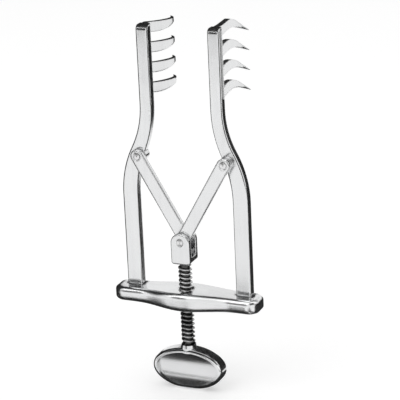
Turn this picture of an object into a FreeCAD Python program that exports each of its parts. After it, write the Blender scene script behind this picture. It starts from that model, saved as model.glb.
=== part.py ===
import FreeCAD, Part
import math
import os

V = FreeCAD.Vector
os.makedirs("parts", exist_ok=True)

# Frame: X across the two arms, Y back towards the tips of the claws, Z up along the screw.
# The origin is on the screw axis, level with the two hinge pins in the crossbar. Millimetres.

# driving sizes
hinge_x = 16.4          # hinge pin of each arm, sideways from the screw axis
arm_thick = 2.7
arm_low_width = 4.5
arm_high_width = 3.5
arm_high_x = 10.4       # middle of the straight upper part
arm_top = 76.2
bend_start, bend_end = 28.0, 54.0
link_pin = (13.1, 39.6)     # rivet between link and arm, x and z
clevis_pin_z = 16.8
link_width, link_thick = 3.7, 1.5
prong_pitch, prong_height, prong_count = 5.65, 2.8, 4
prong_thick = 1.8
prong_run, prong_lean = 15.0, 3.0       # straight part of a claw seen from above, leaning inwards, degrees
prong_bend, prong_turn = 7.6, 43.0      # radius of its hooked end, and the way its point looks outwards
# how far a claw sinks at half its length and at its point: the drawing hooks the right ones down more
prong_sink = {"left": (1.30, 1.20), "right": (0.05, 4.00)}
screw_d = 3.9
neck_d = 2.4            # end of the screw that turns in the clevis
bar_past_hinge = 5.3    # end of the crossbar past the hinge pin
thumb_size = (21.0, 4.6, 12.2)
thumb_z = -21.1

# clearances
slide_gap = 0.10        # between faces that turn past each other
pin_gap = 0.05          # round a pin, on the radius
screw_gap = 0.10        # round the screw in the crossbar, on the radius

# sizes that follow
through = arm_top / 2    # half the length of a cutter that has to go right through a piece
bar_half = hinge_x + bar_past_hinge
link_front_y = -link_thick - slide_gap / 2      # right link: front face, the left link lies behind it
link_back_y = link_thick + slide_gap / 2
arm_y0 = link_back_y + slide_gap
arm_y1 = arm_y0 + arm_thick
fork_half = link_back_y + slide_gap             # half the gap of the clevis
fork_ear = 1.3
rivet_d, tail_d, hinge_d, clevis_pin_d = 1.8, 1.0, 1.6, 1.8
rivet_proud = 0.12      # domed ends of the rivets, over the face they are riveted to
rivet_sink = 0.14       # bevel round a rivet hole, which leaves a fine ring round the rivet
link_length = math.hypot(link_pin[0], link_pin[1] - clevis_pin_z)
link_angle = math.degrees(math.atan2(link_pin[0], link_pin[1] - clevis_pin_z))


def ring_bevel(d, x, z, y, out):
    """The cutter for a bevel round a hole along Y at face y; out is -1 for a front face, 1 for a back face."""
    small, big = d / 2, d / 2 + rivet_sink
    cone = Part.makeCone(big, small, rivet_sink, V(x, y, z), V(0, -out, 0))
    return cone


def along_y(d, x, z, y0, y1):
    """A round bar along Y."""
    return Part.makeCylinder(d / 2, y1 - y0, V(x, y0, z), V(0, 1, 0))


def line(a, b):
    return Part.LineSegment(a, b).toShape()


def arc(a, b, c):
    return Part.Arc(a, b, c).toShape()


def prism(edges, direction):
    """A solid from a closed outline, drawn edge after edge, pulled along a direction."""
    return Part.Face(Part.Wire(edges)).extrude(direction)


def edges_along(shape, want):
    return [e for e in shape.Edges if want(e)]


def save(shape, node):
    if len(shape.Solids) != 1 or not shape.isValid():
        print("check this shape:", node, len(shape.Solids), "solids, valid", shape.isValid())
    if shape.ShapeType != "Solid":
        shape = shape.Solids[0]
    shape.exportStep("parts/" + node + ".step")
    box = shape.BoundBox
    print(f"{node:20s} volume {shape.Volume:8.2f}  x {box.XMin:7.2f} {box.XMax:7.2f}"
          f"  y {box.YMin:6.2f} {box.YMax:6.2f}  z {box.ZMin:7.2f} {box.ZMax:7.2f}")


# %% Crossbar: seen from the front and from above a long bar that swells in the middle
end_top_z, mid_top_z = 1.35, 2.30
end_low_z, mid_low_z = -2.55, -2.80
front_y, mid_front_y = -2.5, -5.3
back_y, mid_back_y = 5.7, 5.8
end_round = 3.2         # corners of the ends seen from above
nose = 1.3              # rounding of the ends seen from the front


def swell(half, at_end, at_mid, place):
    """A smooth edge along the bar, from its left end to its right end."""
    steps = [(-half, 0), (-0.62 * half, 0.12), (-0.27 * half, 0.72), (0, 1),
             (0.27 * half, 0.72), (0.62 * half, 0.12), (half, 0)]
    curve = Part.BSplineCurve()
    points = [place(x, at_end + s * (at_mid - at_end)) for x, s in steps]
    way = place(1, at_end) - place(0, at_end)
    curve.interpolate(Points=points, InitialTangent=way, FinalTangent=way)
    return curve.toShape()


def bar_from_front():
    h = bar_half - nose
    k = nose * math.sqrt(0.5)
    at = lambda x, z: V(x, -through, z)
    t, d = end_top_z - nose, end_low_z + nose
    edges = [swell(h, end_top_z, mid_top_z, at),
             arc(at(h, end_top_z), at(h + k, t + k), at(bar_half, t)),
             line(at(bar_half, t), at(bar_half, d)),
             arc(at(bar_half, d), at(h + k, d - k), at(h, end_low_z)),
             swell(h, end_low_z, mid_low_z, at),
             arc(at(-h, end_low_z), at(-h - k, d - k), at(-bar_half, d)),
             line(at(-bar_half, d), at(-bar_half, t)),
             arc(at(-bar_half, t), at(-h - k, t + k), at(-h, end_top_z))]
    return prism(Part.__sortEdges__(edges), V(0, 2 * through, 0))


def bar_from_above():
    h = bar_half - end_round
    k = end_round * math.sqrt(0.5)
    at = lambda x, y: V(x, y, -through)
    f, b = front_y + end_round, back_y - end_round
    edges = [swell(h, front_y, mid_front_y, at),
             arc(at(h, front_y), at(h + k, f - k), at(bar_half, f)),
             line(at(bar_half, f), at(bar_half, b)),
             arc(at(bar_half, b), at(h + k, b + k), at(h, back_y)),
             swell(h, back_y, mid_back_y, at),
             arc(at(-h, back_y), at(-h - k, b + k), at(-bar_half, b)),
             line(at(-bar_half, b), at(-bar_half, f)),
             arc(at(-bar_half, f), at(-h - k, f - k), at(-h, front_y))]
    return prism(Part.__sortEdges__(edges), V(0, 0, 2 * through))


bar = bar_from_front().common(bar_from_above())
if bar.ShapeType != "Solid":
    bar = bar.Solids[0]


def outer_edge(e):
    """Edges between the sides and the top or the bottom of the bar."""
    faces = bar.ancestorsOfType(e, Part.Face)
    upright = [abs(f.normalAt(*f.Surface.parameter(e.CenterOfMass))[2]) < 0.05 for f in faces]
    return len(upright) == 2 and upright[0] != upright[1]


rounded = None
for radius in (1.15, 0.9, 0.7):
    try:
        picked = [e for e in bar.Edges if outer_edge(e)]
        rounded = bar.makeFillet(radius, picked)
        if rounded.isValid():
            print("crossbar edges rounded by", radius, len(picked))
            break
    except Exception as err:
        print("rounding", radius, "not possible:", err)
bar = rounded if rounded is not None and rounded.isValid() else bar

mortise_out, mortise_in = 0.60, 0.40    # room for the arm to swing outwards and inwards
for side in (-1, 1):
    x0 = hinge_x - arm_low_width / 2 - mortise_in
    x1 = hinge_x + arm_low_width / 2 + mortise_out
    hole = Part.makeBox(x1 - x0, arm_thick + 2 * slide_gap, 2 * through, V(x0, arm_y0 - slide_gap, -through))
    hole = hole.makeFillet(0.5, edges_along(hole, lambda e: abs(e.tangentAt(e.FirstParameter).z) > 0.9))
    if side < 0:
        hole = hole.mirror(V(0, 0, 0), V(1, 0, 0))
    bar = bar.cut(hole)
pin_front_y = front_y + 1.6
pin_back_y = back_y - 0.05
for side in (-1, 1):
    bar = bar.cut(along_y(hinge_d, side * hinge_x, 0, pin_front_y, through))
bar = bar.cut(Part.makeCylinder(screw_d / 2 + screw_gap, 2 * through, V(0, 0, -through)))
save(bar, "crossbar")

for side, name in ((-1, "left"), (1, "right")):
    pin = along_y(hinge_d, side * hinge_x, 0, pin_front_y, pin_back_y)
    pin = pin.makeChamfer(0.15, [pin.Edges[0], pin.Edges[2]])
    save(pin, name + "_hinge_pin")


# %% Arms: a flat bar with one smooth double bend, and a comb of four claws at the top
def s_bend(x0, x1, share, y):
    """Two arcs that carry an upright edge from x0 to x1; share is the first arc's part of both radii."""
    dx, h = x1 - x0, bend_end - bend_start
    turn = 2 * math.atan(abs(dx) / h)
    both = h / math.sin(turn)
    r1, r2 = both * share, both * (1 - share)
    s = math.copysign(1, dx)

    def low(t):
        return V(x0 + s * r1 * (1 - math.cos(t)), y, bend_start + r1 * math.sin(t))

    def high(t):
        return V(x1 - s * r2 * (1 - math.cos(t)), y, bend_end - r2 * math.sin(t))
    return [arc(low(0), low(turn / 2), low(turn)), arc(low(turn), high(turn / 2), high(0))]


tang_round = 0.9
tang_low = 1.5
crown = 1.3             # rounding of the top of an arm, front to back


def arm_from_side():
    """The arm seen from its side: flat, with its front edge rounded over at the top."""
    k = crown * (1 - math.sqrt(0.5))
    at = lambda y, z: V(0, y, z)
    low, top = -tang_low - 1, arm_top
    return prism([line(at(arm_y0, low), at(arm_y0, top - crown)),
                  arc(at(arm_y0, top - crown), at(arm_y0 + k, top - k), at(arm_y0 + crown, top)),
                  line(at(arm_y0 + crown, top), at(arm_y1, top)), line(at(arm_y1, top), at(arm_y1, low)),
                  line(at(arm_y1, low), at(arm_y0, low))], V(through, 0, 0))


def arm_blank():
    y = arm_y0
    xi, xo = hinge_x - arm_low_width / 2, hinge_x + arm_low_width / 2
    ui, uo = arm_high_x - arm_high_width / 2, arm_high_x + arm_high_width / 2
    z0 = -tang_low
    r, k = tang_round, tang_round * (1 - math.sqrt(0.5))
    edges = [line(V(xi, y, z0 + r), V(xi, y, bend_start)), *s_bend(xi, ui, 0.47, y),
             line(V(ui, y, bend_end), V(ui, y, arm_top)), line(V(ui, y, arm_top), V(uo, y, arm_top)),
             line(V(uo, y, arm_top), V(uo, y, bend_end)), *s_bend(xo, uo, 0.53, y),
             line(V(xo, y, bend_start), V(xo, y, z0 + r)),
             arc(V(xo, y, z0 + r), V(xo - k, y, z0 + k), V(xo - r, y, z0)),
             line(V(xo - r, y, z0), V(xi + r, y, z0)),
             arc(V(xi + r, y, z0), V(xi + k, y, z0 + k), V(xi, y, z0 + r))]
    body = prism(Part.__sortEdges__(edges), V(0, arm_thick, 0)).common(arm_from_side())
    long_edges = edges_along(body, lambda e: e.CenterOfMass.z > 5 and abs(e.CenterOfMass.y - arm_y1) > 0.01
                             and abs(e.tangentAt(e.FirstParameter).x) < 0.9)
    long_edges += edges_along(body, lambda e: e.CenterOfMass.z > 5 and abs(e.CenterOfMass.y - arm_y1) < 0.01
                              and e.CenterOfMass.z < arm_top - 0.01)
    return body.makeFillet(0.5, long_edges)


def claw_plan():
    """A claw seen from above: straight backwards, then hooked outwards to a sharp point."""
    lean, turn = math.radians(prong_lean), math.radians(prong_lean + prong_turn)
    root = V(arm_high_x, arm_y1 - 0.9, 0)
    run = V(-math.sin(lean), math.cos(lean), 0)
    out = V(math.cos(lean), math.sin(lean), 0)      # square to the run, outwards
    middle = root + run * prong_run + out * prong_bend
    places = [(root, out, 1.0), (root + run * 0.55 * prong_run, out, 0.92), (root + run * prong_run, out, 0.76)]
    for share, thick in ((0.36, 0.60), (0.70, 0.36), (1.0, 0.07)):
        inward = -out * math.cos(turn * share) + run * math.sin(turn * share)
        places.append((middle + inward * prong_bend, -inward, thick))
    sides = []
    for sign in (-1, 1):
        curve = Part.BSplineCurve()
        curve.interpolate(Points=[p + n * (sign * t * prong_thick / 2) for p, n, t in places])
        sides.append(curve)
    ends = [line(sides[0].value(sides[0].FirstParameter), sides[1].value(sides[1].FirstParameter)),
            line(sides[0].value(sides[0].LastParameter), sides[1].value(sides[1].LastParameter))]
    edges = [c.toShape() for c in sides] + ends
    return prism(Part.__sortEdges__(edges), V(0, 0, 2 * through)), places[-1][0].y


def claw_comb(side):
    """Four claws: one outline from above and one from the side, and what both have in common."""
    plan, y_tip = claw_plan()
    sink_mid, sink_tip = prong_sink[side]
    gap = prong_pitch - prong_height
    y_web = arm_y1 + gap / 2 - 0.1      # round ground of the gaps, just behind the arm
    y_mid = (y_web + y_tip) / 2
    slim, point = 0.22, 0.08            # how much lower a claw is at half length, and half its point
    at = lambda y, z: V(0, y, z)
    outline = []
    for i in range(prong_count):
        top = arm_top - i * prong_pitch
        low, tip = top - prong_height, top - prong_height / 2 - sink_tip
        outline += [arc(at(y_web, top), at(y_mid, top - slim - sink_mid), at(y_tip, tip + point)),
                    line(at(y_tip, tip + point), at(y_tip, tip - point)),
                    arc(at(y_tip, tip - point), at(y_mid, low + slim - sink_mid), at(y_web, low))]
        if i < prong_count - 1:
            outline.append(arc(at(y_web, low), at(y_web - gap / 2, low - gap / 2), at(y_web, low - gap)))
    bottom = arm_top - (prong_count - 1) * prong_pitch - prong_height
    y_in = arm_y0 + crown + 0.1
    outline += [arc(at(y_web, bottom), at(y_web - 1.05, bottom - 0.45), at(y_web - 1.5, bottom - 1.5)),
                line(at(y_web - 1.5, bottom - 1.5), at(y_in, bottom - 1.5)),
                line(at(y_in, bottom - 1.5), at(y_in, arm_top)), line(at(y_in, arm_top), at(y_web, arm_top))]
    return plan.common(prism(Part.__sortEdges__(outline), V(through, 0, 0)))


# the rivet tail moves in this slot as the arm swings: the pin joint is left open by design
slot_run = (-0.46, -0.275)
slot_half = tail_d / 2 + 0.20


def tail_slot():
    x, z = link_pin
    a, b = (x, z), (x + slot_run[0], z + slot_run[1])
    run = math.hypot(*slot_run)
    nx, nz = -slot_run[1] / run * slot_half, slot_run[0] / run * slot_half
    ends = along_y(2 * slot_half, *a, 0, through).fuse(along_y(2 * slot_half, *b, 0, through))
    corners = [V(a[0] + nx, 0, a[1] + nz), V(b[0] + nx, 0, b[1] + nz),
               V(b[0] - nx, 0, b[1] - nz), V(a[0] - nx, 0, a[1] - nz)]
    sides = [line(corners[i], corners[(i + 1) % 4]) for i in range(4)]
    return ends.fuse(prism(sides, V(0, through, 0)))


def slot_boss():
    """A round swelling of the arm's inner edge, the size of the link's end, round the slot."""
    x, z = link_pin[0] + slot_run[0] / 2, link_pin[1] + slot_run[1] / 2
    return along_y(link_width, x, z, arm_y0, arm_y1)


for side in ("left", "right"):
    arm = arm_blank().fuse(slot_boss()).fuse(claw_comb(side)).removeSplitter()
    arm = arm.cut(along_y(hinge_d + 2 * pin_gap, hinge_x, 0, 0, through)).cut(tail_slot())
    save(arm.mirror(V(0, 0, 0), V(1, 0, 0)) if side == "left" else arm, side + "_arm")


# %% Clevis: a fork with two arched ears on a base that the screw turns in
fork_width = 5.6
over_pin, under_pin = 2.5, 4.5      # from the pin to the top of the ears and to the floor of the fork
base_thick = 1.9
fork_top = clevis_pin_z + over_pin
fork_floor = clevis_pin_z - under_pin
fork_low = fork_floor - base_thick
w = fork_width / 2
spring = fork_top - w
outline = [line(V(-w, 0, fork_low), V(w, 0, fork_low)), line(V(w, 0, fork_low), V(w, 0, spring)),
           arc(V(w, 0, spring), V(0, 0, fork_top), V(-w, 0, spring)), line(V(-w, 0, spring), V(-w, 0, fork_low))]
fork_depth = fork_half + fork_ear
fork = prism(outline, V(0, 2 * fork_depth, 0))
fork.translate(V(0, -fork_depth, 0))
fork = fork.makeFillet(0.8, edges_along(fork, lambda e: abs(e.tangentAt(e.FirstParameter).y) > 0.9
                                        and e.CenterOfMass.z < fork_low + 0.1))
fork = fork.makeFillet(0.35, edges_along(fork, lambda e: abs(abs(e.CenterOfMass.y) - fork_depth) < 0.01))
slot = Part.makeBox(2 * through, 2 * fork_half, through, V(-through, -fork_half, fork_floor))
slot = slot.makeFillet(0.5, edges_along(slot, lambda e: abs(e.CenterOfMass.z - fork_floor) < 0.01
                                        and abs(e.tangentAt(e.FirstParameter).x) > 0.9))
fork = fork.cut(slot).cut(along_y(clevis_pin_d, 0, clevis_pin_z, -through, through))
fork = fork.cut(Part.makeCylinder(neck_d / 2 + pin_gap, through, V(0, 0, fork_low - 1)))
for out in (-1, 1):
    fork = fork.cut(ring_bevel(clevis_pin_d, 0, clevis_pin_z, out * fork_depth, out))
save(fork, "clevis")


def domed_pin(steps, x, z):
    """A riveted pin along Y from (radius, y from, y to) steps, its two ends domed and a little proud."""
    body = None
    for i, (r, y0, y1) in enumerate(steps):
        piece = along_y(2 * r, 0, 0, y0, y1)
        body = piece if body is None else body.fuse(piece)
    for r, y, out in ((steps[0][0], steps[0][1], -1), (steps[-1][0], steps[-1][2], 1)):
        ball_r = (r * r + rivet_proud ** 2) / (2 * rivet_proud)
        ball = Part.makeSphere(ball_r, V(0, y + out * (rivet_proud - ball_r), 0), V(0, 1, 0))
        a, b = sorted((y - out * 0.01, y + out * rivet_proud * 2))
        body = body.fuse(ball.common(along_y(2 * r, 0, 0, a, b)))
    body = body.removeSplitter()
    body.translate(V(x, 0, z))
    return body


save(domed_pin([(clevis_pin_d / 2, -fork_depth, fork_depth)], 0, clevis_pin_z), "clevis_pin")


# %% Screw, its collar in the clevis, and the thumb piece
end_gap = 0.08
neck_low = fork_low - end_gap
spindle_low = -15.6
collar_d, collar_h = 3.0, 0.9
collar_z = fork_floor + end_gap
profile = [V(0, 0, spindle_low), V(screw_d / 2, 0, spindle_low), V(screw_d / 2, 0, neck_low - 0.3),
           V(screw_d / 2 - 0.3, 0, neck_low), V(neck_d / 2, 0, neck_low), V(neck_d / 2, 0, collar_z + collar_h),
           V(0, 0, collar_z + collar_h)]
outline = [line(profile[i], profile[(i + 1) % len(profile)]) for i in range(len(profile))]
save(Part.Face(Part.Wire(outline)).revolve(V(0, 0, 0), V(0, 0, 1), 360), "spindle")

collar = Part.makeCylinder(collar_d / 2, collar_h, V(0, 0, collar_z))
collar = collar.makeChamfer(0.2, [e for e in collar.Edges if e.CenterOfMass.z > collar_z + collar_h - 0.01])
save(collar.cut(Part.makeCylinder(neck_d / 2, 5, V(0, 0, collar_z - 1))), "swivel_collar")


def ellipse_prism(a, b, y0, y1):
    ring = Part.Ellipse(V(a, 0, 0), V(0, 0, b), V(0, 0, 0)).toShape()
    body = Part.Face(Part.Wire([ring])).extrude(V(0, y1 - y0, 0))
    body.translate(V(0, y0, thumb_z))
    return body


a, half_t, b = thumb_size[0] / 2, thumb_size[1] / 2, thumb_size[2] / 2
rim = 1.15
dish_radius, dish_depth = 11.9, 1.3
disc = ellipse_prism(a, b, -half_t, half_t)
disc = disc.makeFillet(0.95, edges_along(disc, lambda e: abs(abs(e.CenterOfMass.y) - half_t) < 0.01))
for side in (-1, 1):
    pocket = ellipse_prism(a - rim, b - rim, *sorted((side * 0.5, side * 6)))
    round_floor = Part.makeCylinder(dish_radius, 40, V(-20, side * (half_t - dish_depth + dish_radius), thumb_z),
                                    V(1, 0, 0))
    disc = disc.cut(pocket.common(round_floor))
flare_top, flare_low = -14.1, thumb_z + b - 1.4
flare_r = half_t - 0.06
edges = [line(V(0, 0, flare_low), V(0, 0, flare_top)),
         line(V(0, 0, flare_top), V(screw_d / 2 + 0.1, 0, flare_top)),
         line(V(screw_d / 2 + 0.1, 0, flare_top), V(flare_r, 0, thumb_z + b + 0.1)),
         line(V(flare_r, 0, thumb_z + b + 0.1), V(flare_r, 0, flare_low)),
         line(V(flare_r, 0, flare_low), V(0, 0, flare_low))]
neck = Part.Face(Part.Wire(edges)).revolve(V(0, 0, 0), V(0, 0, 1), 360)
thumb = disc.fuse(neck).removeSplitter()
thumb = thumb.cut(Part.makeCylinder(screw_d / 2, 20, V(0, 0, spindle_low)))
save(thumb, "thumb_piece")


# %% Links with their rivets and washers
def link(side, y0):
    """A flat bar with round ends from the clevis pin to the rivet of one arm."""
    r, length = link_width / 2, link_length
    edges = [line(V(-r, 0, 0), V(-r, 0, length)), arc(V(-r, 0, length), V(0, 0, length + r), V(r, 0, length)),
             line(V(r, 0, length), V(r, 0, 0)), arc(V(r, 0, 0), V(0, 0, -r), V(-r, 0, 0))]
    body = prism(edges, V(0, link_thick, 0))
    body = body.makeFillet(0.2, edges_along(body, lambda e: abs(e.tangentAt(e.FirstParameter).y) < 0.1))
    for d, z in ((clevis_pin_d + 2 * pin_gap, 0), (rivet_d, length)):
        body = body.cut(along_y(d, 0, z, -through, through))
    body = body.cut(ring_bevel(rivet_d, 0, length, 0, -1))
    body.rotate(V(0, 0, 0), V(0, 1, 0), side * link_angle)
    body.translate(V(0, y0, clevis_pin_z))
    return body


washer_d, washer_t = 3.2, 0.6
washer_y = arm_y1 + slide_gap


def link_rivet(side, y0, shoulder_y):
    """Plain round end in the link, thinner tail through the slot of the arm, domed end behind the washer."""
    steps = [(rivet_d / 2, y0, shoulder_y), (tail_d / 2, shoulder_y, washer_y + washer_t)]
    return domed_pin(steps, side * link_pin[0], link_pin[1])


for side, name, y0 in ((-1, "left", slide_gap / 2), (1, "right", link_front_y)):
    x = side * link_pin[0]
    save(link(side, y0), name + "_link")
    save(link_rivet(side, y0, link_back_y), name + "_link_rivet")
    washer = along_y(washer_d, x, link_pin[1], washer_y, washer_y + washer_t)
    washer = washer.makeChamfer(0.15, [e for e in washer.Edges if e.CenterOfMass.y > washer_y + washer_t - 0.01])
    save(washer.cut(along_y(tail_d, x, link_pin[1], 0, through)), name + "_rivet_washer")
spacer = along_y(link_width, link_pin[0], link_pin[1], -slide_gap / 2, link_back_y)
save(spacer.cut(along_y(rivet_d, link_pin[0], link_pin[1], -through, through)), "right_link_spacer")
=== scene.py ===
# %% [markdown]
# # A self-retaining retractor
# This instrument holds a wound open without a hand on it. Two clawed arms are hinged in a
# crossbar, and a thumb screw pushes a forked clevis up between them. Two links turn that push
# into a spread. Nearly all of it is flat bar with filed edges, so the solids of the packed
# model already have the right shapes. Blender adds what those solids leave out: the thread of
# the screw, the finish of each kind of steel, the light and the camera.

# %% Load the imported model
import bpy, bmesh, math
from mathutils import Matrix, Vector


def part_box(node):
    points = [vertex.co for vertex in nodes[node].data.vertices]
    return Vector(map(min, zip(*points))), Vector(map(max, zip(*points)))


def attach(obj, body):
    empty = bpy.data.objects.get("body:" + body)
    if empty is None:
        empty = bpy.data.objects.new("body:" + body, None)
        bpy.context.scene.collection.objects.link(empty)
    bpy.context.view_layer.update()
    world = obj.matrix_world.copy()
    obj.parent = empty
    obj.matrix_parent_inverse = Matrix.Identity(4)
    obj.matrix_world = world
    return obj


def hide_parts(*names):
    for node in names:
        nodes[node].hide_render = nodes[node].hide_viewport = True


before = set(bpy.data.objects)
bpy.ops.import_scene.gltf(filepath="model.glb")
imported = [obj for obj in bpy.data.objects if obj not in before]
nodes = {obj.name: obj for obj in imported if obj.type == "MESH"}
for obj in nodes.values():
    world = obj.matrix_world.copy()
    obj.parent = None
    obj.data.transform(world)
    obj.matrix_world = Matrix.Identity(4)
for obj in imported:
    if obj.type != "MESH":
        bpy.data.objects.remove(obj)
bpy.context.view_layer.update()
scene = bpy.context.scene
MM = 0.001
print("pieces of the packed model:", len(nodes))

# %% [markdown]
# ## Camera
# The drawing shows the instrument upright, a little from its right and a little from above.
# Its two arms hardly converge, so the lens is a long one. The place of the camera is worked
# out from the angle, the distance and the scale of the picture, because then each number can
# be changed alone. A small roll tips the top of the instrument to the left, as drawn.

# %% Camera
AZIMUTH, ELEVATION, ROLL = math.radians(23.8), math.radians(18.6), math.radians(2.57)
DISTANCE = 0.5                      # metres from the aimed point
PIXELS_PER_MM, PICTURE = 3.66, 400
SENSOR = 36                         # width of the film in mm
AIM = Vector((0, 0, 0.025))         # this point of the instrument lands on AIM_PIXEL
AIM_PIXEL = (182.5, 211.4)

back = Vector((math.sin(AZIMUTH) * math.cos(ELEVATION),
               -math.cos(AZIMUTH) * math.cos(ELEVATION), math.sin(ELEVATION)))
level_right = Vector((math.cos(AZIMUTH), math.sin(AZIMUTH), 0))
level_up = back.cross(level_right)
right = level_right * math.cos(ROLL) + level_up * math.sin(-ROLL)
up = back.cross(right)

camera_data = bpy.data.cameras.new("camera")
camera_data.sensor_width = SENSOR
camera_data.lens = PIXELS_PER_MM * SENSOR / PICTURE * DISTANCE / MM
camera_data.clip_start, camera_data.clip_end = 0.01, 20
camera = bpy.data.objects.new("camera", camera_data)
scene.collection.objects.link(camera)
pixel = MM / PIXELS_PER_MM
off_right, off_up = PICTURE / 2 - AIM_PIXEL[0], AIM_PIXEL[1] - PICTURE / 2
camera.location = AIM + right * off_right * pixel + up * off_up * pixel + back * DISTANCE
camera.rotation_mode = "QUATERNION"
camera.rotation_quaternion = Matrix((right, up, back)).transposed().to_quaternion()
scene.camera = camera
print("lens in mm:", round(camera_data.lens, 1))

# %% [markdown]
# ## Floor, background and lamps
# Polished steel shows what stands round it. A white surround makes its flat faces white, so
# the world and the floor look white to the camera and to reflections, and light the scene
# less than that. The floor keeps a soft shadow under the thumb piece.

# %% World
SURROUND_LIGHT, SURROUND_SEEN = 0.42, 1.0   # what lights the scene, and what camera and steel see


def seen_rays(tree):
    """1 for camera, reflected and refracted rays, else 0."""
    path = tree.nodes.new("ShaderNodeLightPath")
    total = path.outputs["Is Camera Ray"]
    for ray in ("Is Glossy Ray", "Is Transmission Ray"):
        both = tree.nodes.new("ShaderNodeMath")
        both.operation, both.use_clamp = "ADD", True
        tree.links.new(total, both.inputs[0])
        tree.links.new(path.outputs[ray], both.inputs[1])
        total = both.outputs[0]
    return total


world = bpy.data.worlds.new("white_surround")
scene.world = world
world.use_nodes = True
tree = world.node_tree
sky = tree.nodes["Background"]
sky.inputs["Color"].default_value = (1, 1, 1, 1)
level = tree.nodes.new("ShaderNodeMapRange")
level.inputs["To Min"].default_value = SURROUND_LIGHT
level.inputs["To Max"].default_value = SURROUND_SEEN
tree.links.new(seen_rays(tree), level.inputs["Value"])
tree.links.new(level.outputs["Result"], sky.inputs["Strength"])

scene.view_settings.view_transform = "Standard"
print("the surround lights", SURROUND_LIGHT, "and shows", SURROUND_SEEN)


# %% Floor
def plain_mesh(name, points, faces):
    """A mesh object from a few corners."""
    mesh = bpy.data.meshes.new(name)
    mesh.from_pydata([tuple(p) for p in points], [], faces)
    mesh.update()
    piece = bpy.data.objects.new(name, mesh)
    scene.collection.objects.link(piece)
    return piece


FLOOR_GREY, FLOOR_GLOW = 0.85, 0.42         # its own colour, and what camera and steel see on top
FLOOR_REACH = 3                             # metres to each side
floor_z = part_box("thumb_piece")[0].z - 0.2 * MM
floor = plain_mesh("floor", [(x * FLOOR_REACH, y * FLOOR_REACH, floor_z)
                             for x, y in ((-1, -1), (1, -1), (1, 1), (-1, 1))], [(0, 1, 2, 3)])
paper = bpy.data.materials.new("white_floor")
paper.use_nodes = True
tree = paper.node_tree
tree.nodes.clear()
dull = tree.nodes.new("ShaderNodeBsdfDiffuse")
dull.inputs["Color"].default_value = (FLOOR_GREY, FLOOR_GREY, FLOOR_GREY, 1)
glow = tree.nodes.new("ShaderNodeEmission")
glow_level = tree.nodes.new("ShaderNodeMath")
glow_level.operation = "MULTIPLY"
glow_level.inputs[1].default_value = FLOOR_GLOW
both = tree.nodes.new("ShaderNodeAddShader")
out = tree.nodes.new("ShaderNodeOutputMaterial")
tree.links.new(seen_rays(tree), glow_level.inputs[0])
tree.links.new(glow_level.outputs[0], glow.inputs["Strength"])
tree.links.new(dull.outputs[0], both.inputs[0])
tree.links.new(glow.outputs[0], both.inputs[1])
tree.links.new(both.outputs[0], out.inputs["Surface"])
floor.data.materials.append(paper)
print("floor at", round(floor_z, 4))

# %% Lamps
LAMP_SIZE = 1.1                             # metres
LAMP_AIM = Vector((0, 0, 0.03))             # the middle of the instrument
LAMPS = {"key": ((-0.45, -0.70, 0.85), 3.8), "fill": ((0.80, -0.40, 0.60), 1.2),
         "top": ((0.05, 0.35, 1.10), 2.4)}  # place and watts

for name, (place, power) in LAMPS.items():
    data = bpy.data.lights.new(name, "AREA")
    data.size, data.energy = LAMP_SIZE, power
    light = bpy.data.objects.new(name, data)
    light.location = place
    light.rotation_mode = "QUATERNION"
    light.rotation_quaternion = (Vector(place) - LAMP_AIM).to_track_quat("Z", "Y")
    scene.collection.objects.link(light)
print("lamps:", ", ".join(LAMPS))

# %% [markdown]
# ## Dark cards
# A polished face is a mirror, so it looks dark only where something dark stands in the one
# direction that it shows. The drawing has its heavy lines along the right sides, the tops of
# the claws, the undersides and the rounded edges. For each of them the mirrored direction was
# followed to find the place of a card. Only reflections see the cards, so they never hide the
# instrument and throw no shadow. Two of them stand close behind the arms, because the claws
# beside those sides look nearly the same way and have to stay bright.

# %% One dark card
CARD_COLOUR = (0.03, 0.03, 0.03, 1)
card_black = bpy.data.materials.new("card_black")
card_black.use_nodes = True
card_shader = card_black.node_tree.nodes["Principled BSDF"]
card_shader.inputs["Base Color"].default_value = CARD_COLOUR
card_shader.inputs["Roughness"].default_value = 1.0
low = floor_z + 0.8 * MM                    # height of the cards that lie on the floor


def dark_card(name, corners, faces):
    """A black card that only reflections see."""
    card = plain_mesh(name, corners, faces)
    card.data.materials.append(card_black)
    card.visible_camera = card.visible_diffuse = card.visible_shadow = False
    card.visible_transmission = False


print("cards on the floor lie at", round(low, 4))


# %% Walls at the sides
def dark_wall(name, start, end, near, far, bottom, top):
    """A black wall between two angles, counted seen from above from +X towards +Y.

    Where near is less than far, a sheet on the floor fills the gap between them."""
    steps = 6
    levels = [(far, bottom), (far, top)]
    if near < far:
        levels += [(near, low), (far, low)]
    points, faces, row = [], [], len(levels)
    for i in range(steps + 1):
        angle = math.radians(start + (end - start) * i / steps)
        points += [(reach * math.cos(angle), reach * math.sin(angle), z) for reach, z in levels]
    for i in range(0, row * steps, row):
        for j in range(i, i + row, 2):
            faces.append((j, j + 1, j + row + 1, j + row))
    dark_card(name, points, faces)


# start and end in degrees, near and far in metres from the screw, bottom and top in metres
WALLS = {
    "side_left": (130, 198, 0.026, 0.080, low, 0.16),               # left edges and left end
    "side_left_front": (198, 213, 0.080, 0.080, -0.017, 0.16),      # a second line beside them
    "side_right": (-14, 78, 0.028, 0.100, low, 0.024),              # right sides of arms and clevis
    "side_right_claws": (302, 350, 0.090, 0.090, 0.024, 0.16)}      # edges of the right sides
for name, wall in WALLS.items():
    dark_wall(name, *wall)
print("walls:", ", ".join(WALLS))


# %% Level and upright cards
def dark_sheets(name, *sheets):
    """One object from several black sheets, each given by its corners."""
    corners, faces = [], []
    for sheet in sheets:
        faces.append(tuple(range(len(corners), len(corners) + len(sheet))))
        corners += sheet
    dark_card(name, corners, faces)


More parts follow.
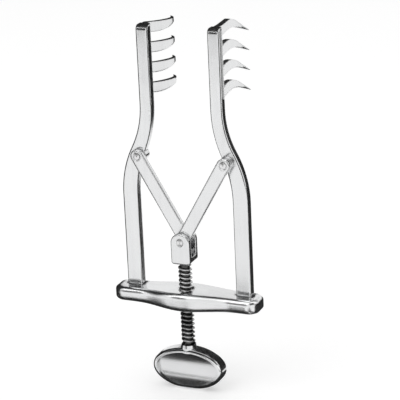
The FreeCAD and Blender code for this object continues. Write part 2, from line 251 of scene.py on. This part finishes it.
def level_sheet(x0, x1, y0, y1, z):
    """The corners of a sheet that lies level at height z."""
    return [(x0, y0, z), (x1, y0, z), (x1, y1, z), (x0, y1, z)]


def upright_sheet(x0, x1, y, z0, z1):
    """The corners of a sheet that stands across the view, y behind the middle."""
    return [(x0, y, z0), (x1, y, z0), (x1, y, z1), (x0, y, z1)]


CLOSE = 6.2 * MM                            # how far back the two close cards stand
# what each card darkens, with its x from and to, y from and to, and height
LEVEL_CARDS = {
    "upper half of the dish": (-0.045, 0.045, -0.009, 0.012, low),
    "back edge of the crossbar": (-0.095, 0.022, -0.014, 0.165, 0.105),
    "caps of the arms": (-0.030, 0.016, -0.012, 0.030, 0.084),
    "lower edge of the crossbar": (-0.045, 0.020, -0.018, -0.004, -0.010),
    "upper rim of the thumb piece": (-0.050, 0.030, 0.004, 0.024, -0.007)}
# the same, with x from and to, y, and z from and to
UPRIGHT_CARDS = {
    "left arm at its claws": (-0.0080, -0.0040, CLOSE, 0.048, 0.0755),
    "right arm at its claws": (0.0233, 0.045, 0.030, 0.041, 0.085),
    "right arm below its bend": (0.0270, 0.045, 0.030, 0.020, 0.041),
    "tops of the claws": (-0.060, -0.001, 0.060, 0.048, 0.105)}
dark_sheets("level_cards", *(level_sheet(*place) for place in LEVEL_CARDS.values()))
dark_sheets("card_behind", *(upright_sheet(*place) for place in UPRIGHT_CARDS.values()))
print("cards for:", ", ".join([*LEVEL_CARDS, *UPRIGHT_CARDS]))

# %% Cards at the bend and in front
FRONT_LOW, FRONT_HIGH = -0.012, 0.250
# the right side of the right arm along its bend
dark_sheets("card_bend", [(0.0175, CLOSE, 0.0360), (0.0215, CLOSE, 0.0360), (0.0175, CLOSE, 0.0558),
                          (0.0125, CLOSE, 0.0558), (0.0125, CLOSE, 0.0520)])
# the low front of the crossbar and a line low in the dish
dark_sheets("card_near", [(-0.030, -0.018, low), (0.005, -0.042, low), (-0.005, -0.066, low),
                          (-0.045, -0.048, low)])
# the lower edge of the right link
dark_sheets("card_near_right", [(0.020, -0.064, low), (0.050, -0.064, low), (0.050, -0.012, low),
                                (0.030, -0.012, low)])
# the lower half of the dish, and the feet and the front edges of the caps of the arms
dark_sheets("card_front", [(-0.281, -0.312, FRONT_LOW), (-0.044, -0.418, FRONT_LOW),
                           (-0.044, -0.418, FRONT_HIGH), (-0.281, -0.312, FRONT_HIGH)])
print("cards at the bend and in front: 4")

# %% [markdown]
# ## Steel
# All pieces are stainless steel, but each is finished in its own way: bars are brushed along
# their length, the crossbar is polished round its curves, the screw is turned. The effects
# that these steels share are built once as node groups: a grain, the bright line that handling
# leaves along edges, the rounding that polishing gives them, painted shade in corners, and a
# faint haze.

# %% Helpers for node trees
FLOAT, VECTOR = "NodeSocketFloat", "NodeSocketVector"


def node_group(name, inputs, outputs):
    """An empty shader group with named sockets, and its two ends."""
    group = bpy.data.node_groups.new(name, "ShaderNodeTree")
    for socket, kind, value in inputs:
        made = group.interface.new_socket(name=socket, in_out="INPUT", socket_type=kind)
        if value is not None:
            made.default_value = value
    for socket, kind in outputs:
        group.interface.new_socket(name=socket, in_out="OUTPUT", socket_type=kind)
    return group, group.nodes.new("NodeGroupInput"), group.nodes.new("NodeGroupOutput")


def add(tree, kind, **settings):
    """A new node; a setting goes to the input of that name, or else to the node itself."""
    node = tree.nodes.new(kind)
    for key, value in settings.items():
        if key in node.inputs:
            node.inputs[key].default_value = value
        else:
            setattr(node, key, value)
    return node


# %% Grain: fine noise drawn out along one direction, with broad streaks in it
grain_group, grain_in, grain_out = node_group(
    "brushed_grain", [("Vector", VECTOR, None), ("Stretch", VECTOR, (1, 1, 1))],
    [("Height", FLOAT), ("Streaks", FLOAT)])
scaled = add(grain_group, "ShaderNodeVectorMath", operation="MULTIPLY")
fine = add(grain_group, "ShaderNodeTexNoise", Scale=1.0, Detail=4.0, Roughness=0.62)
broad = add(grain_group, "ShaderNodeTexNoise", Scale=0.21, Detail=2.0, Roughness=0.5)
link = grain_group.links.new
link(grain_in.outputs["Vector"], scaled.inputs[0])
link(grain_in.outputs["Stretch"], scaled.inputs[1])
link(scaled.outputs[0], fine.inputs["Vector"])
link(scaled.outputs[0], broad.inputs["Vector"])
link(fine.outputs["Fac"], grain_out.inputs["Height"])
link(broad.outputs["Fac"], grain_out.inputs["Streaks"])
print("made:", grain_group.name)

# %% Worn edges: where a rounded normal leaves the face's own
edge_group, edge_in, edge_out = node_group(
    "worn_edge", [("Width", FLOAT, 0.2 * MM), ("Gain", FLOAT, 4.0)], [("Mask", FLOAT)])
round_normal = add(edge_group, "ShaderNodeBevel", samples=6)
face = add(edge_group, "ShaderNodeNewGeometry")
dot = add(edge_group, "ShaderNodeVectorMath", operation="DOT_PRODUCT")
away = add(edge_group, "ShaderNodeMath", operation="SUBTRACT")
away.inputs[0].default_value = 1.0
gain = add(edge_group, "ShaderNodeMath", operation="MULTIPLY", use_clamp=True)
link = edge_group.links.new
link(edge_in.outputs["Width"], round_normal.inputs["Radius"])
link(round_normal.outputs[0], dot.inputs[0])
link(face.outputs["Normal"], dot.inputs[1])
link(dot.outputs["Value"], away.inputs[1])
link(away.outputs[0], gain.inputs[0])
link(edge_in.outputs["Gain"], gain.inputs[1])
link(gain.outputs[0], edge_out.inputs["Mask"])
print("made:", edge_group.name)

# %% Soft edges: polishing rounds an edge over more than the solid shows
soft_group, soft_in, soft_out = node_group(
    "soft_edge", [("Radius", FLOAT, 0.5 * MM)], [("Normal", VECTOR)])
rounded_face = add(soft_group, "ShaderNodeBevel", samples=8)
soft_group.links.new(soft_in.outputs["Radius"], rounded_face.inputs["Radius"])
soft_group.links.new(rounded_face.outputs[0], soft_out.inputs["Normal"])
print("made:", soft_group.name)

# %% Corner shade: painted shade in corners, where little of the surround is seen
corner_shade_group, corner_shade_in, corner_shade_out = node_group(
    "painted_corner_shade", [("Reach", FLOAT, 1.5 * MM), ("Power", FLOAT, 1.6)], [("Mask", FLOAT)])
hidden = add(corner_shade_group, "ShaderNodeAmbientOcclusion", samples=8)
rest = add(corner_shade_group, "ShaderNodeMath", operation="SUBTRACT")
rest.inputs[0].default_value = 1.0
curve = add(corner_shade_group, "ShaderNodeMath", operation="POWER", use_clamp=True)
link = corner_shade_group.links.new
link(corner_shade_in.outputs["Reach"], hidden.inputs["Distance"])
link(hidden.outputs["AO"], rest.inputs[1])
link(rest.outputs[0], curve.inputs[0])
link(corner_shade_in.outputs["Power"], curve.inputs[1])
link(curve.outputs[0], corner_shade_out.inputs["Mask"])
print("made:", corner_shade_group.name)

# %% Haze: slow patches left by wiping
haze_group, haze_in, haze_out = node_group(
    "wiping_haze", [("Vector", VECTOR, None), ("Patch", FLOAT, 120.0)], [("Mask", FLOAT)])
patches = add(haze_group, "ShaderNodeTexNoise", Detail=3.0, Roughness=0.55)
spread = add(haze_group, "ShaderNodeMapRange")
spread.inputs["From Min"].default_value, spread.inputs["From Max"].default_value = 0.35, 0.68
link = haze_group.links.new
link(haze_in.outputs["Vector"], patches.inputs["Vector"])
link(haze_in.outputs["Patch"], patches.inputs["Scale"])
link(patches.outputs["Fac"], spread.inputs["Value"])
link(spread.outputs["Result"], haze_out.inputs["Mask"])
print("made:", haze_group.name)

# %% [markdown]
# A steel takes each effect from its group and lays it over a plain colour and roughness. Its
# colour goes darker in streaks and brighter on edges, and painted shade darkens it in corners
# and turns it nearly black in the root of the thread. Its roughness follows the same masks, and
# the grain lifts the surface a little.

# %% Mixing by a mask
MIX_FIRST, MIX_SECOND, MIX_RESULT = 6, 7, 2     # the colour sockets of a Mix node


def mixed_colour(tree, mask, amount, first, second):
    """First colour, going over to the second by mask times amount."""
    part = add(tree, "ShaderNodeMath", operation="MULTIPLY")
    part.inputs[1].default_value = amount
    tree.links.new(mask, part.inputs[0])
    mix = add(tree, "ShaderNodeMix", data_type="RGBA")
    tree.links.new(part.outputs[0], mix.inputs[0])
    for i, colour in ((MIX_FIRST, first), (MIX_SECOND, second)):
        if isinstance(colour, tuple):
            mix.inputs[i].default_value = (*colour, 1)
        else:
            tree.links.new(colour, mix.inputs[i])
    return mix.outputs[MIX_RESULT]


def raised(tree, value, mask, amount):
    """A number with amount times a mask added to it."""
    node = add(tree, "ShaderNodeMath", operation="MULTIPLY_ADD", use_clamp=True)
    tree.links.new(mask, node.inputs[0])
    node.inputs[1].default_value = amount
    if isinstance(value, float):
        node.inputs[2].default_value = value
    else:
        tree.links.new(value, node.inputs[2])
    return node.outputs[0]


# Painted shade: this mask darkens the root of the thread, near the core
def groove_shade_mask(tree, place, groove):
    """1 inside the first radius round Z, 0 outside the second."""
    flat = add(tree, "ShaderNodeVectorMath", operation="MULTIPLY")
    flat.inputs[1].default_value = (1, 1, 0)
    radius = add(tree, "ShaderNodeVectorMath", operation="LENGTH")
    groove_shade = add(tree, "ShaderNodeMapRange")
    groove_shade.inputs["From Min"].default_value, groove_shade.inputs["From Max"].default_value = groove
    groove_shade.inputs["To Min"].default_value, groove_shade.inputs["To Max"].default_value = 1.0, 0.0
    tree.links.new(place, flat.inputs[0])
    tree.links.new(flat.outputs[0], radius.inputs[0])
    tree.links.new(radius.outputs["Value"], groove_shade.inputs["Value"])
    return groove_shade.outputs["Result"]


print("shared effects:", ", ".join(group.name for group in bpy.data.node_groups))


# %% One steel from the shared effects
STREAK_TINT, STREAK_SHARE = 0.86, 0.8           # darker streaks of the grain
WORN_TINT, WORN_SHARE = 1.12, 0.7               # brighter worn edges
CORNER_SHADE_TINT = (0.30, 0.29, 0.28)                  # painted shade in corners, as a part of the steel's own colour
# painted shade in the root of the thread: its colour and how far it goes
GROOVE_SHADE_COLOUR, GROOVE_SHADE_SHARE = (0.025, 0.024, 0.022), 0.92
GRAIN_ROUGH, HAZE_ROUGH, WORN_ROUGH, CORNER_ROUGH = 0.08, 0.05, -0.05, 0.25
GRAIN_DEPTH, GRAIN_STRENGTH = 0.01 * MM, 0.35


def steel(name, colour, roughness, stretch, corner_shade_amount=0.35, soft=0.0, groove=None):
    """Stainless steel; stretch is the grain's fineness along X, Y and Z, per metre.

    corner_shade_amount is how strongly painted shade darkens the corners, soft is the radius that
    polishing has given to the edges, and groove gives the radii round Z between which the painted shade
    in the root of the thread fades out."""
    material = bpy.data.materials.new(name)
    material.use_nodes = True
    tree = material.node_tree
    shader = tree.nodes["Principled BSDF"]
    shader.inputs["Metallic"].default_value = 1.0
    place = add(tree, "ShaderNodeTexCoord").outputs["Object"]

    def effect(group, **values):
        node = add(tree, "ShaderNodeGroup", node_tree=group)
        for key, value in values.items():
            node.inputs[key].default_value = value
        if "Vector" in node.inputs:
            tree.links.new(place, node.inputs["Vector"])
        return node.outputs

    grain = effect(grain_group, Stretch=stretch)
    worn = effect(edge_group)["Mask"]
    corner = effect(corner_shade_group)["Mask"]
    haze = effect(haze_group)["Mask"]

    dark = tuple(STREAK_TINT * c for c in colour)
    bright = tuple(min(1.0, WORN_TINT * c) for c in colour)
    shaded_colour = tuple(t * c for t, c in zip(CORNER_SHADE_TINT, colour))
    base = mixed_colour(tree, grain["Streaks"], STREAK_SHARE, colour, dark)
    base = mixed_colour(tree, worn, WORN_SHARE, base, bright)
    # painted shade: the colour darkens in the corners and slots that the Ambient Occlusion node finds
    base = mixed_colour(tree, corner, corner_shade_amount, base, shaded_colour)
    # painted shade: the root of the thread goes nearly black
    if groove:
        base = mixed_colour(tree, groove_shade_mask(tree, place, groove), GROOVE_SHADE_SHARE, base, GROOVE_SHADE_COLOUR)
    tree.links.new(base, shader.inputs["Base Color"])

    rough = roughness
    for mask, amount in ((grain["Height"], GRAIN_ROUGH), (haze, HAZE_ROUGH), (worn, WORN_ROUGH),
                         (corner, CORNER_ROUGH)):
        rough = raised(tree, rough, mask, amount)
    tree.links.new(rough, shader.inputs["Roughness"])

    bump = add(tree, "ShaderNodeBump", Strength=GRAIN_STRENGTH, Distance=GRAIN_DEPTH)
    tree.links.new(grain["Height"], bump.inputs["Height"])
    if soft:
        tree.links.new(effect(soft_group, Radius=soft)["Normal"], bump.inputs["Normal"])
    tree.links.new(bump.outputs["Normal"], shader.inputs["Normal"])
    return material


# CORNER_SHADE_TINT is the painted shade in corners
print("worn edges are", WORN_TINT, "times as bright, film", CORNER_SHADE_TINT)


# %% The seven steels and the pieces that they finish
bright_steel = (0.80, 0.805, 0.81)
arm_steel = steel("arm_steel", bright_steel, 0.11, (4200, 4200, 260), soft=0.55 * MM)
link_steel = steel("link_steel", bright_steel, 0.11, (3800, 3800, 420), soft=0.95 * MM)
bar_steel = steel("bar_steel", bright_steel, 0.10, (260, 3600, 3600), soft=1.3 * MM)
fork_steel = steel("fork_steel", (0.78, 0.785, 0.79), 0.12, (3600, 3600, 500), soft=0.5 * MM)
thumb_steel = steel("thumb_steel", bright_steel, 0.10, (300, 3200, 3200))
screw_steel = steel("screw_steel", (0.74, 0.74, 0.745), 0.16, (900, 900, 5200), corner_shade_amount=0.6,
                    groove=(1.50 * MM, 1.85 * MM))
pin_steel = steel("pin_steel", (0.84, 0.84, 0.845), 0.24, (5200, 900, 5200))
finishes = {"crossbar": bar_steel, "left_arm": arm_steel, "right_arm": arm_steel,
            "left_link": link_steel, "right_link": link_steel, "clevis": fork_steel,
            "thumb_piece": thumb_steel, "spindle": screw_steel}
for name, node in nodes.items():
    node.data.materials.clear()
    node.data.materials.append(finishes.get(name, pin_steel))
print("steels:", len({*finishes.values(), pin_steel}), "pieces:", len(nodes))

# %% [markdown]
# ## Thread of the screw
# The screw is the one piece whose real surface is not in the solids. A thread is one profile
# that follows a helix, so Geometry Nodes make it: a spiral curve, a small tooth as the
# profile, and Curve to Mesh to sweep it. The tooth shrinks to nothing at both ends, where a
# cutting tool would run out. The core is a lathe shape of its own.

# %% Sizes of the screw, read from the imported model
spindle_low, spindle_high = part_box("spindle")
clevis_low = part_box("clevis")[0].z
thumb_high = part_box("thumb_piece")[1].z
screw_radius = spindle_high.x
PITCH = 1.25 * MM
DEPTH = 0.60 * MM
core_radius = screw_radius - DEPTH
neck_radius = 1.2 * MM
shoulder_z = clevis_low - 0.08 * MM             # the screw ends just below the clevis
thread_low, thread_high = thumb_high - 0.2 * MM, shoulder_z - 0.25 * MM
print("screw radius in mm:", round(screw_radius / MM, 3), "core:", round(core_radius / MM, 3))


# %% The outline of one tooth
def maths(tree, operation, a, b):
    """A Math node's result; a and b are numbers or other nodes' results."""
    node = add(tree, "ShaderNodeMath", operation=operation)
    for i, value in enumerate((a, b)):
        if isinstance(value, (int, float)):
            node.inputs[i].default_value = value
        else:
            tree.links.new(value, node.inputs[i])
    return node.outputs[0]


FOOT_SUNK = 0.2                                 # of the depth, so that no gap opens at the core
HALF_FOOT, HALF_CREST, CREST_ROUND = 0.41, 0.08, 0.06   # of the pitch: flanks at 30 degrees


def tooth_outline(tree, pitch, depth):
    """A four-sided outline with its foot in the core and a narrow, slightly rounded crest."""
    foot = maths(tree, "MULTIPLY", depth, -FOOT_SUNK)
    half_foot, half_crest = (maths(tree, "MULTIPLY", pitch, part) for part in (HALF_FOOT, HALF_CREST))
    tooth = add(tree, "GeometryNodeCurvePrimitiveQuadrilateral", mode="POINTS")
    places = ((foot, maths(tree, "MULTIPLY", half_foot, -1)), (foot, half_foot),
              (depth, half_crest), (depth, maths(tree, "MULTIPLY", half_crest, -1)))
    for i, (out_from_core, along_screw) in enumerate(places):
        corner = add(tree, "ShaderNodeCombineXYZ")
        tree.links.new(out_from_core, corner.inputs[0])
        tree.links.new(along_screw, corner.inputs[1])
        tree.links.new(corner.outputs[0], tooth.inputs["Point %d" % (i + 1)])
    rounded = add(tree, "GeometryNodeFilletCurve", mode="POLY", Count=3)
    tree.links.new(tooth.outputs["Curve"], rounded.inputs["Curve"])
    tree.links.new(maths(tree, "MULTIPLY", pitch, CREST_ROUND), rounded.inputs["Radius"])
    return rounded.outputs["Curve"]


flank = math.atan((HALF_FOOT - HALF_CREST) * PITCH / ((1 + FOOT_SUNK) * DEPTH))
print("angle of the flanks:", round(math.degrees(flank)))


# %% The path of the tooth, and how it runs out
POINTS_PER_TURN = 40
RUN_OUT, FIRST_SCALE = 0.8, 0.02                # turns to full size, and the size that it starts with


def spiral_path(tree, length, pitch, core):
    """A spiral round Z that keeps the tooth facing straight out from the axis."""
    spiral = add(tree, "GeometryNodeCurveSpiral", Resolution=POINTS_PER_TURN)
    tree.links.new(maths(tree, "DIVIDE", length, pitch), spiral.inputs["Rotations"])
    tree.links.new(core, spiral.inputs["Start Radius"])
    tree.links.new(core, spiral.inputs["End Radius"])
    tree.links.new(length, spiral.inputs["Height"])
    flat = add(tree, "ShaderNodeVectorMath", operation="MULTIPLY")
    flat.inputs[1].default_value = (1, 1, 0)
    tree.links.new(add(tree, "GeometryNodeInputPosition").outputs[0], flat.inputs[0])
    facing = add(tree, "GeometryNodeSetCurveNormal", mode="FREE")
    tree.links.new(spiral.outputs["Curve"], facing.inputs["Curve"])
    tree.links.new(flat.outputs[0], facing.inputs["Normal"])
    return facing.outputs["Curve"]


def tooth_scale(tree, length, pitch):
    """The size of the tooth along the screw: next to nothing at both ends, else full."""
    along = add(tree, "GeometryNodeSplineParameter").outputs["Factor"]
    from_low = maths(tree, "MULTIPLY", along, length)
    from_end = maths(tree, "MINIMUM", from_low, maths(tree, "SUBTRACT", length, from_low))
    share = maths(tree, "DIVIDE", from_end, maths(tree, "MULTIPLY", pitch, RUN_OUT))
    return maths(tree, "MINIMUM", maths(tree, "ADD", share, FIRST_SCALE), 1.0)


print("full size is reached in mm:", round(RUN_OUT * PITCH / MM, 2))


# %% The thread as a node tree
THREAD_INPUTS = {"Length": thread_high - thread_low, "Pitch": PITCH, "Core radius": core_radius,
                 "Depth": DEPTH}


def thread_tree():
    """Named inputs: Length, Pitch, Core radius, Depth and Material."""
    tree = bpy.data.node_groups.new("screw_thread", "GeometryNodeTree")
    new, link = tree.interface.new_socket, tree.links.new
    for name, value in THREAD_INPUTS.items():
        new(name=name, in_out="INPUT", socket_type=FLOAT).default_value = value
    new(name="Material", in_out="INPUT", socket_type="NodeSocketMaterial")
    new(name="Geometry", in_out="OUTPUT", socket_type="NodeSocketGeometry")
    given, made = tree.nodes.new("NodeGroupInput").outputs, tree.nodes.new("NodeGroupOutput")
    length, pitch = given["Length"], given["Pitch"]

    sweep = add(tree, "GeometryNodeCurveToMesh")
    sweep.inputs["Fill Caps"].default_value = True
    link(spiral_path(tree, length, pitch, given["Core radius"]), sweep.inputs["Curve"])
    link(tooth_outline(tree, pitch, given["Depth"]), sweep.inputs["Profile Curve"])
    link(tooth_scale(tree, length, pitch), sweep.inputs["Scale"])
    real = add(tree, "GeometryNodeRealizeInstances")
    finish = add(tree, "GeometryNodeSetMaterial")
    link(sweep.outputs["Mesh"], real.inputs["Geometry"])
    link(real.outputs["Geometry"], finish.inputs["Geometry"])
    link(given["Material"], finish.inputs["Material"])
    link(finish.outputs["Geometry"], made.inputs["Geometry"])
    return tree


def made_by_tree(name, tree, values):
    """The mesh that a node tree makes with the given inputs, and no modifier left."""
    holder = plain_mesh(name, [], [])
    modifier = holder.modifiers.new("tree", "NODES")
    modifier.node_group = tree
    for socket in tree.interface.items_tree:
        if socket.in_out == "INPUT" and socket.name in values:
            modifier[socket.identifier] = values[socket.name]
    bpy.context.view_layer.update()
    seen = holder.evaluated_get(bpy.context.evaluated_depsgraph_get())
    mesh = bpy.data.meshes.new_from_object(seen)
    holder.modifiers.remove(modifier)
    bpy.data.objects.remove(holder)
    return mesh


thread_mesh = made_by_tree("thread", thread_tree(), {**THREAD_INPUTS, "Material": screw_steel})
thread_mesh.transform(Matrix.Translation((0, 0, thread_low)))
print("turns:", round(THREAD_INPUTS["Length"] / PITCH, 1), "faces:", len(thread_mesh.polygons))

# %% [markdown]
# The core under the thread, the plain shoulder below the clevis and the neck inside it are
# turned on a lathe in reality. The same idea serves here: a half profile is spun round Z.

# %% Lathe for the core
SEGMENTS = 64


def lathe(name, profile):
    """A closed turned piece from (radius, z) steps, first and last on the axis."""
    made = bmesh.new()
    rings = []
    for radius, z in profile:
        if radius == 0:
            rings.append([made.verts.new((0, 0, z))])
        else:
            rings.append([made.verts.new((radius * math.cos(t), radius * math.sin(t), z))
                          for t in (2 * math.pi * i / SEGMENTS for i in range(SEGMENTS))])
    for below, above in zip(rings, rings[1:]):
        for i in range(SEGMENTS):
            j = (i + 1) % SEGMENTS
            ring = [below[i % len(below)], below[j % len(below)],
                    above[j % len(above)], above[i % len(above)]]
            made.faces.new(list(dict.fromkeys(ring)))
    bmesh.ops.recalc_face_normals(made, faces=made.faces)
    mesh = bpy.data.meshes.new(name)
    made.to_mesh(mesh)
    made.free()
    return mesh


BEVEL = 0.1 * MM
SHOULDER_BEVEL = (0.05 * MM, 0.15 * MM, 0.2 * MM)   # in at its start, its height, in at the top
top = spindle_high.z
core_mesh = lathe("core", [
    (0, spindle_low.z), (core_radius, spindle_low.z), (core_radius, thread_high - BEVEL),
    (screw_radius - BEVEL, thread_high + BEVEL),
    (screw_radius - SHOULDER_BEVEL[0], shoulder_z - SHOULDER_BEVEL[1]),
    (screw_radius - SHOULDER_BEVEL[2], shoulder_z), (neck_radius, shoulder_z),
    (neck_radius, top - BEVEL), (neck_radius - BEVEL, top), (0, top)])
print("core:", len(core_mesh.polygons), "faces")


# %% The screw from its thread and core
SHARP_FROM = math.radians(35)                   # edges stay sharp where two faces meet at more than this


def joined(name, material, *meshes):
    """One smooth object from several meshes that share one material."""
    made = bmesh.new()
    for mesh in meshes:
        made.from_mesh(mesh)
    whole = bpy.data.meshes.new(name)
    made.to_mesh(whole)
    made.free()
    whole.materials.append(material)
    whole.shade_smooth()
    whole.set_sharp_from_angle(angle=SHARP_FROM)
    piece = bpy.data.objects.new(name, whole)
    scene.collection.objects.link(piece)
    return piece


screw = joined("screw", screw_steel, core_mesh, thread_mesh)
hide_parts("spindle")
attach(screw, "spindle")
print("screw:", len(screw.data.polygons), "faces")
